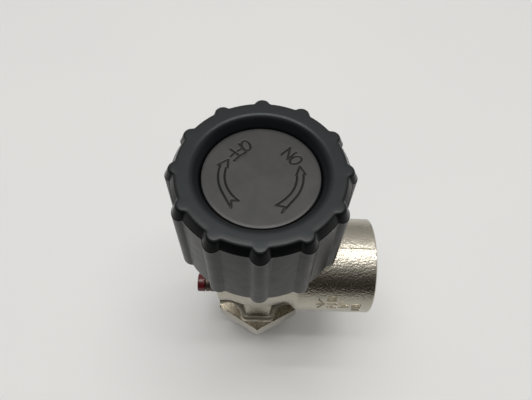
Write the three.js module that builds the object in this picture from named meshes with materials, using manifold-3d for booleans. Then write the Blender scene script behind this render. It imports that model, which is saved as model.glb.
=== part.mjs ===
// Screw-down angle valve with a ribbed handwheel, in millimetres.
// +Z runs up the stem and +X along the side outlet.
// The origin is the centre of the handwheel's flat cap face, on the stem axis.
import * as THREE from 'three';
import { mergeVertices } from 'three/addons/utils/BufferGeometryUtils.js';
import Module from 'manifold-3d';

const wasm = await Module();
wasm.setup();

// ---------------------------------------------------------------- driving dimensions

const FINE = 40;      // segments round a large turned piece
const COARSE = 24;    // segments round a small turned piece
const GAP = 0.3;      // clearance between a piece and its neighbour
const REST_ANGLE = 1.1 * Math.PI / 180;     // how far the handwheel stands round from the outlet's line

const RIB_COUNT = 12;
const WHEEL = {
  top: 3.13,              // top of the ring
  bottom: -26.4,          // lower edge of the skirt
  fillet: 0.5,            // hollow between a rib and the ring
  upper: { ring: 23.6, ribCentre: 22.4, rib: 2.75 },
  lower: { ring: 23.9, ribCentre: 22.5, rib: 2.8 },
  edge: [[0, -0.5], [1.3, 2.7], [1.45, 2.95], [1.75, 3.13]],    // inset and height of the steep top edge
  wellRadius: 14.6,       // well under the cap
  wellFloor: -12.0,
  capSeat: -1.9,
  webUnder: -15.0,
  hubRadius: 9.0,
  hubBottom: -24.0,
  wellWall: 16.9,         // outside of the well's wall
  skirtInside: 21.1,
  coreTop: 0.3,           // top of the hollow between the well's wall and the skirt
  bevel: [[16.45, 1.5], [17.1, 2.45], [18.5, 3.13]],    // slope from the cap up to the ring
};

const CAP = { radius: 15.6, thick: 1.6, lipOuter: 14.3, lipInner: 13.0, lipDepth: 3.0 };
const INSERT = { flats: 12.0, square: 7.3 };
const NUT = { flats: 10.0, bottom: -5.6, top: -2.4, hole: 3.2 };
const WASHER = { inner: 3.2, outer: 6.5, bottom: -7.0, top: -5.8 };
const SPRING = { bottom: -11.8, top: -7.2, radius: 4.9, wire: 0.45, turns: 3 };

const STEM = {
  threadRadius: 3.0,
  threadTop: -2.2,
  square: 7.0,
  squareBottom: -24.6,
  radius: 5.0,
  collarRadius: 7.9,
  collarTop: -39.9,
  collarBottom: -42.7,
  tang: 6.4,
  tangBottom: -53.4,
  grooveRadius: 3.7,
  upperGroove: [-33.9, -32.1],
  lowerGroove: [-37.4, -35.6],
};

const BONNET = {
  flats: 24.0,
  hexBottom: -35.2,
  hexTop: -28.2,
  bossRadius: 8.5,
  bossTop: -25.6,
  shankRadius: 9.8,
  shankBottom: -42.6,
  bore: 5.3,
  collarBore: 8.2,
  collarBoreTop: -38.6,
  bushBore: 6.7,
  bushFloor: -30.6,
};

const OUTLET_Z = -54.93;     // height of the barrel's and the outlet's axis
const BARREL = { radius: 13.8, left: -14.2, right: 9.5 };
const OUTLET = { radius: 16.6, start: 13.5, end: 38.6, socket: 12.05, socketFloor: 20.6, chamfer: 1.2 };
const COLUMN = { radius: 14.5, top: -35.5, bottom: -60.0 };
const NECK = {
  halfLength: 15.3,
  reach: 12.4,
  scoop: { x: 12.0, y: 12.4, radius: 6.8 },     // round hollow in each of the four corners
  top: -61.0,
};
const HEX = { flats: 30.4, top: -80.2, bottom: -87.5, chamfer: 1.0 };
const INLET = {
  radius: 10.45,
  end: -101.5,
  bore: 6.8,
  chamfer: 1.2,
  grooveRadius: 8.9,
  grooveDepth: 2.4,
};

const CAVITY = {
  bonnetBore: 10.1,
  ledge: -44.2,
  threadRadius: 7.3,
  chamberRadius: 9.2,
  chamberTop: -54.3,
  chamberFloor: -69.0,
  lipOuter: 6.7,
  lipTop: -67.5,
  throat: 5.5,
  throatBottom: -71.0,
  inletTop: -73.5,
  ringSeat: 11.6,
  ringSeatFloor: -37.3,
};
const PASSAGE = { radius: 4.5, z: -61.0, start: 5.0 };

const SPINDLE = {
  radius: 7.0,
  top: -48.7,
  bottom: -58.3,
  socket: 6.8,
  socketFloor: -57.9,
  footRadius: 4.9,
  footBottom: -62.0,
  groove: [-60.0, -59.4],
  grooveRadius: 4.2,
};
const HOLDER = {
  radius: 7.8,
  top: -58.6,
  bottom: -66.2,
  socket: 5.2,
  socketFloor: -62.2,
  clipRadius: 5.95,
};
const SEAT = { radius: 6.9, top: -65.4, bottom: -67.4, hole: 1.8 };
const RETAINER = { radius: 4.7, top: -67.45, bottom: -68.1 };
const SCREW = { radius: 1.55, hole: 1.75, tip: -62.5, headRadius: 3.0, headTop: -68.15, headBottom: -69.9 };

const DRAIN = {
  z: -77.0,
  boss: 3.6,
  bossEnd: -16.3,
  hole: 2.5,
  shank: 2.3,
  shankEnd: -8.4,
  head: 3.45,
  headStart: -17.1,
  headEnd: -20.9,
  stub: 2.7,
  stubEnd: -22.7,
  capRadius: 3.55,
  capEnd: -24.1,
};

const WASHERS = {
  bush: [5.15, 6.5, -30.5, -25.7],             // inner radius, outer radius, bottom, top
  upperThrust: [5.2, 7.9, -39.7, -38.75],
  lowerThrust: [5.0, 9.5, -44.0, -42.95],
};
const O_RINGS = {
  bonnet: [10.75, 0.7, -36.45],                // radius to the section, radius of the section, height
  neck: [10.0, 0.9, -88.55],
  upperStem: [4.45, 0.7, -33.0],
  lowerStem: [4.45, 0.7, -36.5],
};

// ---------------------------------------------------------------- geometry helpers

// A closed triangle mesh with shared vertices, without the triangles that fold up on an axis.
function weld(geometry) {
  const bare = geometry.clone();
  bare.deleteAttribute('normal');
  bare.deleteAttribute('uv');
  const merged = mergeVertices(bare, 1e-5);
  const index = merged.index.array;
  const kept = [];
  for (let i = 0; i < index.length; i += 3) {
    const [a, b, c] = [index[i], index[i + 1], index[i + 2]];
    if (a !== b && b !== c && c !== a) kept.push(a, b, c);
  }
  merged.setIndex(kept);
  return merged;
}

function toSolid(geometry) {
  const mesh = weld(geometry);
  return new wasm.Manifold(new wasm.Mesh({
    numProp: 3,
    vertProperties: new Float32Array(mesh.attributes.position.array),
    triVerts: new Uint32Array(mesh.index.array),
  }));
}

function toGeometry(solid) {
  const mesh = solid.getMesh();
  const geometry = new THREE.BufferGeometry();
  geometry.setAttribute('position', new THREE.BufferAttribute(mesh.vertProperties, 3));
  geometry.setIndex(new THREE.BufferAttribute(mesh.triVerts, 1));
  geometry.computeVertexNormals();
  return geometry;
}

function join(...geometries) {
  return toGeometry(geometries.map(toSolid).reduce((sum, solid) => sum.add(solid)));
}

function cut(base, ...tools) {
  return toGeometry(tools.map(toSolid).reduce((left, solid) => left.subtract(solid), toSolid(base)));
}

function common(base, other) {
  return toGeometry(toSolid(base).intersect(toSolid(other)));
}

// A solid of revolution about Z from [radius, z] points, listed anticlockwise.
function turned(points, segments = FINE) {
  const profile = points.map(([r, z]) => new THREE.Vector2(r, z));
  return weld(new THREE.LatheGeometry(profile, segments).rotateX(Math.PI / 2));
}

// A solid of revolution about an axis parallel to X at height z, from [radius, x] points.
function turnedAlongX(points, z, segments = FINE) {
  return turned(points, segments).rotateY(Math.PI / 2).translate(0, 0, z);
}

function disc(radius, z0, z1, segments = COARSE) {
  return turned([[0, z0], [radius, z0], [radius, z1], [0, z1]], segments);
}

function ring(inner, outer, z0, z1, segments = COARSE) {
  return turned([[inner, z0], [outer, z0], [outer, z1], [inner, z1], [inner, z0]], segments);
}

function outlineShape(points) {
  return new THREE.Shape(points.map(([x, y]) => new THREE.Vector2(x, y)));
}

function prism(points, z0, z1) {
  const path = { depth: z1 - z0, bevelEnabled: false };
  return weld(new THREE.ExtrudeGeometry(outlineShape(points), path).translate(0, 0, z0));
}

function polygon(sides, flats, firstCorner = 0) {
  const corner = flats / 2 / Math.cos(Math.PI / sides);
  return Array.from({ length: sides }, (_, i) => {
    const angle = firstCorner + i * 2 * Math.PI / sides;
    return [corner * Math.cos(angle), corner * Math.sin(angle)];
  });
}

function hexagon(flats, z0, z1, firstCorner = 0) {
  return prism(polygon(6, flats, firstCorner), z0, z1);
}

function square(side, z0, z1) {
  return prism(polygon(4, side, Math.PI / 4), z0, z1);
}

function oRing(radius, wire, z) {
  return weld(new THREE.TorusGeometry(radius, wire, 6, COARSE).translate(0, 0, z));
}

function arc(cx, cy, radius, from, to, steps) {
  return Array.from({ length: steps + 1 }, (_, i) => {
    const angle = from + (to - from) * i / steps;
    return [cx + radius * Math.cos(angle), cy + radius * Math.sin(angle)];
  });
}

// A solid through outlines that all have the same number of points: [{ points, z }, ...] upwards.
function loft(levels) {
  const count = levels[0].points.length;
  const positions = levels.flatMap(({ points, z }) => points.flatMap(([x, y]) => [x, y, z]));
  const index = [];
  for (let k = 0; k + 1 < levels.length; k += 1) {
    for (let i = 0; i < count; i += 1) {
      const [a, b] = [k * count + i, k * count + (i + 1) % count];
      index.push(a, b, b + count, a, b + count, a + count);
    }
  }
  const top = (levels.length - 1) * count;
  const outline = (level) => level.points.map(([x, y]) => new THREE.Vector2(x, y));
  for (const [a, b, c] of THREE.ShapeUtils.triangulateShape(outline(levels[0]), [])) index.push(a, c, b);
  for (const [a, b, c] of THREE.ShapeUtils.triangulateShape(outline(levels.at(-1)), [])) {
    index.push(top + a, top + b, top + c);
  }
  const geometry = new THREE.BufferGeometry();
  geometry.setAttribute('position', new THREE.Float32BufferAttribute(positions, 3));
  geometry.setIndex(index);
  return geometry;
}

// ---------------------------------------------------------------- handwheel

// The ribbed outline with its edges drawn in by inset: ring arcs, ribs, and the hollows between them.
// A rib gives up part of the inset in its radius and the rest by moving towards the axis.
function wheelOutline({ ring: ringRadius, ribCentre, rib }, inset) {
  const outer = ringRadius - inset;
  const knob = rib - 0.5 * inset;
  const centre = ribCentre - 0.5 * inset;
  const hollow = WHEEL.fillet + 0.3 * inset;
  const reach = outer + hollow;
  const toRib = knob + hollow;
  const alpha = Math.acos((reach ** 2 + centre ** 2 - toRib ** 2) / (2 * centre * reach));
  const beta = Math.atan2(reach * Math.sin(alpha), reach * Math.cos(alpha) - centre);
  const pitch = 2 * Math.PI / RIB_COUNT;
  const points = [];
  for (let i = 0; i < RIB_COUNT; i += 1) {
    const local = [
      ...arc(reach * Math.cos(alpha), -reach * Math.sin(alpha), hollow, Math.PI - alpha, Math.PI - beta, 2),
      ...arc(centre, 0, knob, -beta, beta, 6).slice(1, -1),
      ...arc(reach * Math.cos(alpha), reach * Math.sin(alpha), hollow, Math.PI + beta, Math.PI + alpha, 2),
      ...arc(0, 0, outer, alpha, pitch - alpha, 2).slice(1, -1),
    ];
    const [c, s] = [Math.cos(i * pitch), Math.sin(i * pitch)];
    points.push(...local.map(([x, y]) => [x * c - y * s, x * s + y * c]));
  }
  return points;
}

function handwheelShell() {
  const { bottom, upper, lower, edge } = WHEEL;
  const above = edge.map(([inset, z]) => ({ points: wheelOutline(upper, inset), z }));
  return loft([{ points: wheelOutline(lower, 0), z: bottom }, ...above]);
}

function handwheel() {
  const w = WHEEL;
  const above = w.top + 1;
  const below = w.bottom - 1;
  const well = turned([
    [0, w.wellFloor], [w.wellRadius, w.wellFloor], [w.wellRadius, w.capSeat],
    [CAP.radius + GAP, w.capSeat], [CAP.radius + GAP, 0],
    ...w.bevel, [w.bevel.at(-1)[0], above], [0, above],
  ]);
  const core = turned([
    [0, below], [w.skirtInside, below], [w.skirtInside, w.coreTop], [w.wellWall, w.coreTop],
    [w.wellWall, w.webUnder], [w.hubRadius, w.webUnder], [w.hubRadius, w.hubBottom], [0, w.hubBottom],
  ]);
  const socket = hexagon(INSERT.flats + 2 * GAP, w.hubBottom - 1, w.wellFloor + 1);
  return cut(handwheelShell(), well, core, socket);
}

function handwheelInsert() {
  const [z0, z1] = [WHEEL.hubBottom, WHEEL.wellFloor];
  return cut(hexagon(INSERT.flats, z0, z1), square(INSERT.square, z0 - 1, z1 + 1));
}

function handwheelCap() {
  const { radius, thick, lipOuter, lipInner, lipDepth } = CAP;
  return turned([
    [0, -thick], [lipInner, -thick], [lipInner, -thick - lipDepth], [lipOuter, -thick - lipDepth],
    [lipOuter, -thick], [radius, -thick], [radius, -0.2], [radius - 0.2, 0], [0, 0],
  ]);
}

function handwheelNut() {
  return cut(hexagon(NUT.flats, NUT.bottom, NUT.top), disc(NUT.hole, NUT.bottom - 1, NUT.top + 1));
}

function handwheelSpring() {
  const { bottom, top, radius, wire, turns } = SPRING;
  class Coil extends THREE.Curve {
    getPoint(t, target = new THREE.Vector3()) {
      const angle = 2 * Math.PI * turns * t;
      const z = bottom + wire + (top - bottom - 2 * wire) * t;
      return target.set(radius * Math.cos(angle), radius * Math.sin(angle), z);
    }
  }
  const section = outlineShape(arc(0, 0, wire, 0, 2 * Math.PI, 6).slice(1));
  const path = { steps: turns * 16, extrudePath: new Coil(), bevelEnabled: false };
  return weld(new THREE.ExtrudeGeometry(section, path));
}

// ---------------------------------------------------------------- stem and bonnet

function stem() {
  const s = STEM;
  const [upperLow, upperHigh] = s.upperGroove;
  const [lowerLow, lowerHigh] = s.lowerGroove;
  const round = turned([
    [0, s.collarBottom], [s.collarRadius, s.collarBottom], [s.collarRadius, s.collarTop],
    [s.radius, s.collarTop],
    [s.radius, lowerLow], [s.grooveRadius, lowerLow], [s.grooveRadius, lowerHigh], [s.radius, lowerHigh],
    [s.radius, upperLow], [s.grooveRadius, upperLow], [s.grooveRadius, upperHigh], [s.radius, upperHigh],
    [s.radius, s.squareBottom], [0, s.squareBottom],
  ], COARSE);
  return join(
    round,
    square(s.square, s.squareBottom - 0.5, WHEEL.wellFloor),
    disc(s.threadRadius, WHEEL.wellFloor - 0.5, s.threadTop, 24),
    square(s.tang, s.tangBottom, s.collarBottom + 0.5),
  );
}

function bonnet() {
  const b = BONNET;
  const outside = join(
    disc(b.shankRadius, b.shankBottom, b.hexBottom + 0.5, FINE),
    hexagon(b.flats, b.hexBottom, b.hexTop),
    disc(b.bossRadius, b.hexTop - 0.5, b.bossTop, FINE),
  );
  const inside = turned([
    [0, b.shankBottom - 1], [b.collarBore, b.shankBottom - 1], [b.collarBore, b.collarBoreTop],
    [b.bore, b.collarBoreTop], [b.bore, b.bushFloor],
    [b.bushBore, b.bushFloor], [b.bushBore, b.bossTop + 1], [0, b.bossTop + 1],
  ], COARSE);
  return cut(outside, inside);
}

// ---------------------------------------------------------------- body

// The neck's section: a block as wide as the hexagon's flats, with a round hollow in each corner.
function neckOutline() {
  const { halfLength, reach, scoop } = NECK;
  const end = Math.acos((halfLength - scoop.x) / scoop.radius);
  const corner = arc(scoop.x, scoop.y, scoop.radius, -end, -Math.PI, 5);
  const side = [...corner, ...corner.map(([x, y]) => [-x, y]).reverse()];
  return [...side, ...side.map(([x, y]) => [-x, -y])];
}

function bodyHexagon() {
  const { flats, top, bottom, chamfer } = HEX;
  const corner = flats / 2 / Math.cos(Math.PI / 6);
  const rim = turned([
    [0, bottom], [corner - chamfer, bottom], [corner, bottom + chamfer * 0.6],
    [corner, top - chamfer * 0.6], [corner - chamfer, top], [0, top],
  ]);
  return common(hexagon(flats, bottom, top, Math.PI / 2), rim);
}

function bodyOutside() {
  const { left, right, radius } = BARREL;
  const barrel = turnedAlongX([
    [0, left], [radius - 0.8, left], [radius, left + 0.8], [radius, right], [OUTLET.radius, OUTLET.start],
    [OUTLET.radius, OUTLET.end - 0.8], [OUTLET.radius - 0.8, OUTLET.end], [0, OUTLET.end],
  ], OUTLET_Z);
  const inlet = turned([
    [0, INLET.end], [INLET.radius - INLET.chamfer, INLET.end], [INLET.radius, INLET.end + INLET.chamfer],
    [INLET.radius, HEX.bottom - INLET.grooveDepth], [INLET.grooveRadius, HEX.bottom - INLET.grooveDepth],
    [INLET.grooveRadius, HEX.bottom + 0.5], [0, HEX.bottom + 0.5],
  ]);
  const column = turned([
    [0, COLUMN.bottom], [COLUMN.radius, COLUMN.bottom], [COLUMN.radius, COLUMN.top - 0.8],
    [COLUMN.radius - 0.8, COLUMN.top], [0, COLUMN.top],
  ]);
  const drainBoss = turnedAlongX([
    [0, DRAIN.bossEnd], [DRAIN.boss - 0.5, DRAIN.bossEnd], [DRAIN.boss, DRAIN.bossEnd + 0.5],
    [DRAIN.boss, 0], [0, 0],
  ], DRAIN.z, COARSE);
  const neck = prism(neckOutline(), HEX.top - 0.5, NECK.top);
  return join(column, barrel, neck, bodyHexagon(), inlet, drainBoss);
}

function valveBody() {
  const c = CAVITY;
  const shaft = turned([
    [0, INLET.end - 1], [INLET.bore, INLET.end - 1], [INLET.bore, c.inletTop],
    [c.throat, c.throatBottom], [c.throat, c.lipTop],
    [c.lipOuter, c.lipTop], [c.lipOuter, c.chamberFloor],
    [c.chamberRadius, c.chamberFloor], [c.chamberRadius, c.chamberTop],
    [c.threadRadius, c.chamberTop], [c.threadRadius, c.ledge],
    [c.bonnetBore, c.ledge], [c.bonnetBore, c.ringSeatFloor],
    [c.ringSeat, c.ringSeatFloor], [c.ringSeat, COLUMN.top + 1], [0, COLUMN.top + 1],
  ]);
  const o = OUTLET;
  const socket = turnedAlongX([
    [0, o.socketFloor], [o.socket, o.socketFloor], [o.socket, o.end - o.chamfer],
    [o.socket + o.chamfer, o.end], [o.socket + o.chamfer, o.end + 1], [0, o.end + 1],
  ], OUTLET_Z);
  const passage = turnedAlongX([
    [0, PASSAGE.start], [PASSAGE.radius, PASSAGE.start], [PASSAGE.radius, OUTLET.socketFloor + 1],
    [0, OUTLET.socketFloor + 1],
  ], PASSAGE.z, COARSE);
  const drain = turnedAlongX([
    [0, DRAIN.bossEnd - 1], [DRAIN.hole, DRAIN.bossEnd - 1], [DRAIN.hole, 0], [0, 0],
  ], DRAIN.z, COARSE);
  return cut(bodyOutside(), shaft, socket, passage, drain);
}

function drainPlug() {
  const d = DRAIN;
  return turnedAlongX([
    [0, d.stubEnd], [d.stub, d.stubEnd], [d.stub, d.headEnd], [d.head, d.headEnd], [d.head, d.headStart],
    [d.shank, d.headStart], [d.shank, d.shankEnd], [0, d.shankEnd],
  ], d.z, COARSE);
}

function drainPlugSeal() {
  const { hole, head, bossEnd, headStart, z } = DRAIN;
  const [x0, x1] = [headStart + 0.1, bossEnd - 0.1];
  return turnedAlongX([[hole, x0], [head, x0], [head, x1], [hole, x1], [hole, x0]], z, COARSE);
}

function drainPlugCap() {
  const { capRadius, capEnd, stub, stubEnd, headEnd, z } = DRAIN;
  const [bore, rim, floor] = [stub + 0.2, headEnd - 0.3, stubEnd - 0.2];
  return turnedAlongX([
    [0, capEnd], [capRadius - 0.5, capEnd], [capRadius, capEnd + 0.5], [capRadius, rim],
    [bore, rim], [bore, floor], [0, floor],
  ], z, COARSE);
}

// ---------------------------------------------------------------- closing parts

function lowerSpindle() {
  const s = SPINDLE;
  const [low, high] = s.groove;
  const blank = turned([
    [0, s.footBottom], [s.footRadius, s.footBottom], [s.footRadius, low], [s.grooveRadius, low],
    [s.grooveRadius, high], [s.footRadius, high], [s.footRadius, s.bottom], [s.radius, s.bottom],
    [s.radius, s.top], [0, s.top],
  ], COARSE);
  return cut(blank, square(s.socket, s.socketFloor, s.top + 1));
}

function discHolder() {
  const h = HOLDER;
  const clipFloor = SPINDLE.groove[0] - 0.05;
  const clipTop = SPINDLE.groove[1] + 0.05;
  const recess = SEAT.radius + 0.15;
  return turned([
    [SCREW.hole, SEAT.top + 0.1], [recess, SEAT.top + 0.1], [recess, h.bottom], [h.radius, h.bottom],
    [h.radius, h.top], [h.socket, h.top], [h.socket, clipTop], [h.clipRadius, clipTop],
    [h.clipRadius, clipFloor], [h.socket, clipFloor],
    [h.socket, h.socketFloor], [SCREW.hole, h.socketFloor], [SCREW.hole, SEAT.top + 0.1],
  ], COARSE);
}

function discClip() {
  const [low, high] = SPINDLE.groove;
  const opening = prism([[0, -1], [8, -1], [8, 1], [0, 1]], low - 1, high + 1);
  return cut(ring(SPINDLE.grooveRadius + 0.15, HOLDER.clipRadius - 0.25, low + 0.05, high - 0.05), opening);
}

function seatScrew() {
  const s = SCREW;
  return turned([
    [0, s.headBottom], [s.headRadius, s.headBottom], [s.headRadius, s.headTop], [s.radius, s.headTop],
    [s.radius, s.tip], [0, s.tip],
  ], 24);
}

// ---------------------------------------------------------------- finishes and assembly

function finish(color, roughness, metalness) {
  return () => new THREE.MeshStandardMaterial({ color, roughness, metalness });
}

const nickel = finish(0xc2b8a6, 0.28, 1.0);
const brass = finish(0xc9a45c, 0.35, 1.0);
const steel = finish(0xb9bcc0, 0.3, 1.0);
const blackPlastic = finish(0x17181c, 0.38, 0.0);
const greyPlastic = finish(0x55504b, 0.42, 0.0);
const redPlastic = finish(0xc02a26, 0.4, 0.0);
const rubber = finish(0x141414, 0.8, 0.0);
const whitePlastic = finish(0xe9e6dc, 0.5, 0.0);

const seacockValve = new THREE.Group();

function group(name) {
  const assembly = new THREE.Group();
  assembly.name = name;
  seacockValve.add(assembly);
  return assembly;
}

function add(assembly, name, geometry, material) {
  const mesh = new THREE.Mesh(weld(geometry), material());
  mesh.name = name;
  assembly.add(mesh);
}

const fixed = group('fixed_parts');
add(fixed, 'valve_body', valveBody(), nickel);
add(fixed, 'bonnet', bonnet(), brass);
add(fixed, 'bonnet_o_ring', oRing(...O_RINGS.bonnet), rubber);
add(fixed, 'stem_bush', ring(...WASHERS.bush), whitePlastic);
add(fixed, 'upper_thrust_washer', ring(...WASHERS.upperThrust), whitePlastic);
add(fixed, 'lower_thrust_washer', ring(...WASHERS.lowerThrust), whitePlastic);
add(fixed, 'neck_o_ring', oRing(...O_RINGS.neck), rubber);
add(fixed, 'drain_plug', drainPlug(), brass);
add(fixed, 'drain_plug_seal', drainPlugSeal(), rubber);
add(fixed, 'drain_plug_cap', drainPlugCap(), redPlastic);

const turning = group('turning_parts');
turning.rotation.z = REST_ANGLE;
add(turning, 'handwheel', handwheel(), blackPlastic);
add(turning, 'handwheel_insert', handwheelInsert(), brass);
add(turning, 'handwheel_cap', handwheelCap(), greyPlastic);
add(turning, 'handwheel_spring', handwheelSpring(), steel);
add(turning, 'handwheel_washer', ring(WASHER.inner, WASHER.outer, WASHER.bottom, WASHER.top), steel);
add(turning, 'handwheel_nut', handwheelNut(), steel);
add(turning, 'stem', stem(), brass);
add(turning, 'upper_stem_o_ring', oRing(...O_RINGS.upperStem), rubber);
add(turning, 'lower_stem_o_ring', oRing(...O_RINGS.lowerStem), rubber);

const driven = group('driven_parts');
driven.rotation.z = REST_ANGLE;
add(driven, 'lower_spindle', lowerSpindle(), brass);

const closing = group('closing_parts');
add(closing, 'disc_holder', discHolder(), brass);
add(closing, 'disc_clip', discClip(), steel);
add(closing, 'seat_washer', ring(SEAT.hole, SEAT.radius, SEAT.bottom, SEAT.top), whitePlastic);
add(closing, 'seat_retainer', ring(SEAT.hole, RETAINER.radius, RETAINER.bottom, RETAINER.top), steel);
add(closing, 'seat_screw', seatScrew(), steel);

export default seacockValve;
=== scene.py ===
# Screw-down angle valve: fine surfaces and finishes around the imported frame.
# Shapes are written in millimetres in the row frame; mesh_object() turns them into metres.
import math

import bpy
import numpy as np
from mathutils import Matrix, Vector


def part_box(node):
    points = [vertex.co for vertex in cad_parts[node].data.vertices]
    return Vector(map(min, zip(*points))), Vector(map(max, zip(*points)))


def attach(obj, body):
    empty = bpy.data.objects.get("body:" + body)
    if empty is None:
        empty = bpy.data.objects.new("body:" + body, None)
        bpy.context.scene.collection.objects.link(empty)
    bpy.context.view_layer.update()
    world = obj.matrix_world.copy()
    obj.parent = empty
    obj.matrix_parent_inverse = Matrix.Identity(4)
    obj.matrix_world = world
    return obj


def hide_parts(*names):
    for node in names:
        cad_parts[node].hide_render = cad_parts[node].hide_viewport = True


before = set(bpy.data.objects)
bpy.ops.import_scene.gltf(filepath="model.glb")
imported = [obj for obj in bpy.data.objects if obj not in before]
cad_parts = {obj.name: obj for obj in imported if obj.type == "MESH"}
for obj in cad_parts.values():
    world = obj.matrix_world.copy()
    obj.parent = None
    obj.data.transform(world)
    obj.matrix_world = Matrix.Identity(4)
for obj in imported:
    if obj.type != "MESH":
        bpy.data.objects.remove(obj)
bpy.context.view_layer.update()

MM = 0.001
ROUND = 160          # segments round a large turned surface
SMALL_ROUND = 72     # segments round a small one


# ------------------------------------------------------------------ sizes of the handwheel and its cap

def box_mm(node):
    """Lowest and highest corner of a CAD node, in millimetres."""
    low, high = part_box(node)
    return np.array(low) / MM, np.array(high) / MM


wheel_low, wheel_high = box_mm("handwheel")
cap_low, cap_high = box_mm("handwheel_cap")
body_low, body_high = box_mm("valve_body")

RIB_COUNT = 12
REST_ANGLE = math.radians(1.1)              # how far the handwheel stands round from the outlet's line
WHEEL_TOP = wheel_high[2]
WHEEL_BOTTOM = wheel_low[2]
RIB_FILLET = 0.5
UPPER = {"ring": 23.6, "rib_centre": 22.4, "rib": 2.75}
LOWER = {"ring": 23.9, "rib_centre": 22.5, "rib": 2.8}
EDGE_BOTTOM = -0.6                          # where the steep top edge meets the skirt, on a rib
EDGE_LIFT = 0.9                             # how much higher it meets it between ribs
WELL_RADIUS = 14.6
WELL_FLOOR = -12.0
CAP_SEAT = -1.9
WEB_UNDER = -15.0
HUB_RADIUS = 9.0
HUB_BOTTOM = -24.0
WELL_WALL = 16.9
SKIRT_INSIDE = 21.1
CORE_TOP = 0.3
HUB_SOCKET_FLATS = 12.6

WHEEL_TOP_FACES, WHEEL_BAND, WHEEL_SKIRT = range(3)     # finishes of the handwheel

CAP_RADIUS = (cap_high[0] - cap_low[0]) / 2
CAP_UNDER = -1.6
GROOVE_WIDTH = 0.74
GROOVE_DEPTH = 0.32


# ------------------------------------------------------------------ mesh helpers

def mesh_object(name, vertices, faces):
    """A mesh object, in metres, from points in millimetres."""
    mesh = bpy.data.meshes.new(name)
    points = [tuple(p) for p in np.asarray(vertices, float) * MM]
    mesh.from_pydata(points, [], [list(map(int, face)) for face in faces])
    mesh.validate()
    mesh.update()
    made = bpy.data.objects.new(name, mesh)
    bpy.context.scene.collection.objects.link(made)
    return made


def grid_faces(rows, columns, closed_rows=False):
    """Quads over a grid whose columns close on themselves, with rows optionally closing too."""
    i = np.arange(rows if closed_rows else rows - 1)[:, None]
    j = np.arange(columns)[None, :]
    below, above = i * columns, ((i + 1) % rows) * columns
    following = (j + 1) % columns
    quads = np.stack([below + j, below + following, above + following, above + j], axis=-1)
    return quads.reshape(-1, 4)


def lathe(profile, segments):
    """Vertices and faces of (radius, z) points turned about Z, which end on the axis or close the loop."""
    closed = profile[0] == profile[-1]
    points = list(profile[:-1] if closed else profile)
    turn = np.linspace(0, 2 * math.pi, segments, endpoint=False)
    vertices, rings = [], []
    for r, z in points:
        if r < 1e-6:
            rings.append([len(vertices)] * segments)
            vertices.append((0.0, 0.0, z))
        else:
            rings.append(list(range(len(vertices), len(vertices) + segments)))
            vertices.extend(zip(r * np.cos(turn), r * np.sin(turn), [z] * segments))
    faces = []
    for low, high in zip(rings, rings[1:] + (rings[:1] if closed else [])):
        for j in range(segments):
            k = (j + 1) % segments
            corners = list(dict.fromkeys([low[j], low[k], high[k], high[j]]))
            if len(corners) > 2:
                faces.append(corners)
    return np.array(vertices), faces


def eased(profile, radius, steps=4):
    """The profile with each corner off the axis rounded by an arc of about the given radius."""
    closed = profile[0] == profile[-1]
    points = [Vector(p) for p in (profile[:-1] if closed else profile)]
    out = []
    for i, p in enumerate(points):
        ends = not closed and i in (0, len(points) - 1)
        before, after = points[i - 1] - p, points[(i + 1) % len(points)] - p
        if ends or before.length < 1e-6 or after.length < 1e-6:
            out.append(tuple(p))
            continue
        angle = before.angle(after)
        if angle > math.radians(172):
            out.append(tuple(p))
            continue
        reach = min(radius / math.tan(angle / 2), before.length * 0.45, after.length * 0.45)
        a, b = p + before.normalized() * reach, p + after.normalized() * reach
        for k in range(steps + 1):
            t = k / steps
            out.append(tuple(a * (1 - t) ** 2 + p * 2 * t * (1 - t) + b * t ** 2))
    return out + out[:1] if closed else out


def turned(profile, segments=ROUND):
    """A solid turned about Z from (radius, z) points."""
    return mesh_object("turned", *lathe(profile, segments))


def along_x(vertices, z):
    """Points made about Z, laid along X at height z, with their z becoming x."""
    v = np.asarray(vertices, float)
    return np.stack([v[:, 2], v[:, 1], z - v[:, 0]], axis=1)


def turned_along_x(profile, z, segments):
    """A solid turned about X at height z, from (radius, x) points."""
    vertices, faces = lathe(profile, segments)
    return mesh_object("turned", along_x(vertices, z), faces)


def prism(outline, z0, z1):
    """A closed prism over an anticlockwise outline of (x, y)."""
    n = len(outline)
    vertices = [(x, y, z0) for x, y in outline] + [(x, y, z1) for x, y in outline]
    faces = [[i, (i + 1) % n, n + (i + 1) % n, n + i] for i in range(n)]
    return np.array(vertices), faces + [list(range(n))[::-1], list(range(n, 2 * n))]


def arc(cx, cy, radius, start, end, steps):
    """Points of an arc between two angles, both ends kept."""
    turn = np.linspace(start, end, steps + 1)
    return np.stack([cx + radius * np.cos(turn), cy + radius * np.sin(turn)], axis=1)


def boolean(base, tool, operation):
    """Joins to, cuts from or keeps inside base, and removes the tool."""
    modifier = base.modifiers.new("boolean", "BOOLEAN")
    modifier.operation = operation
    modifier.solver = "MANIFOLD"
    modifier.object = tool
    bake(base)
    bpy.data.objects.remove(tool, do_unlink=True)
    return base


def bake(made):
    """Applies an object's modifiers to its mesh."""
    depsgraph = bpy.context.evaluated_depsgraph_get()
    final = bpy.data.meshes.new_from_object(made.evaluated_get(depsgraph))
    made.modifiers.clear()
    old, made.data = made.data, final
    bpy.data.meshes.remove(old)
    return made


def solid(parts):
    """One closed object from overlapping solids given as (vertices, faces) pairs."""
    first, *others = [mesh_object("part", *part) for part in parts]
    for other in others:
        boolean(first, other, "UNION")
    return first


def smooth(made, angle):
    """Smooth shading, with edges sharper than the angle kept crisp."""
    made.data.polygons.foreach_set("use_smooth", [True] * len(made.data.polygons))
    made.data.set_sharp_from_angle(angle=math.radians(angle))
    return made


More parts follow.
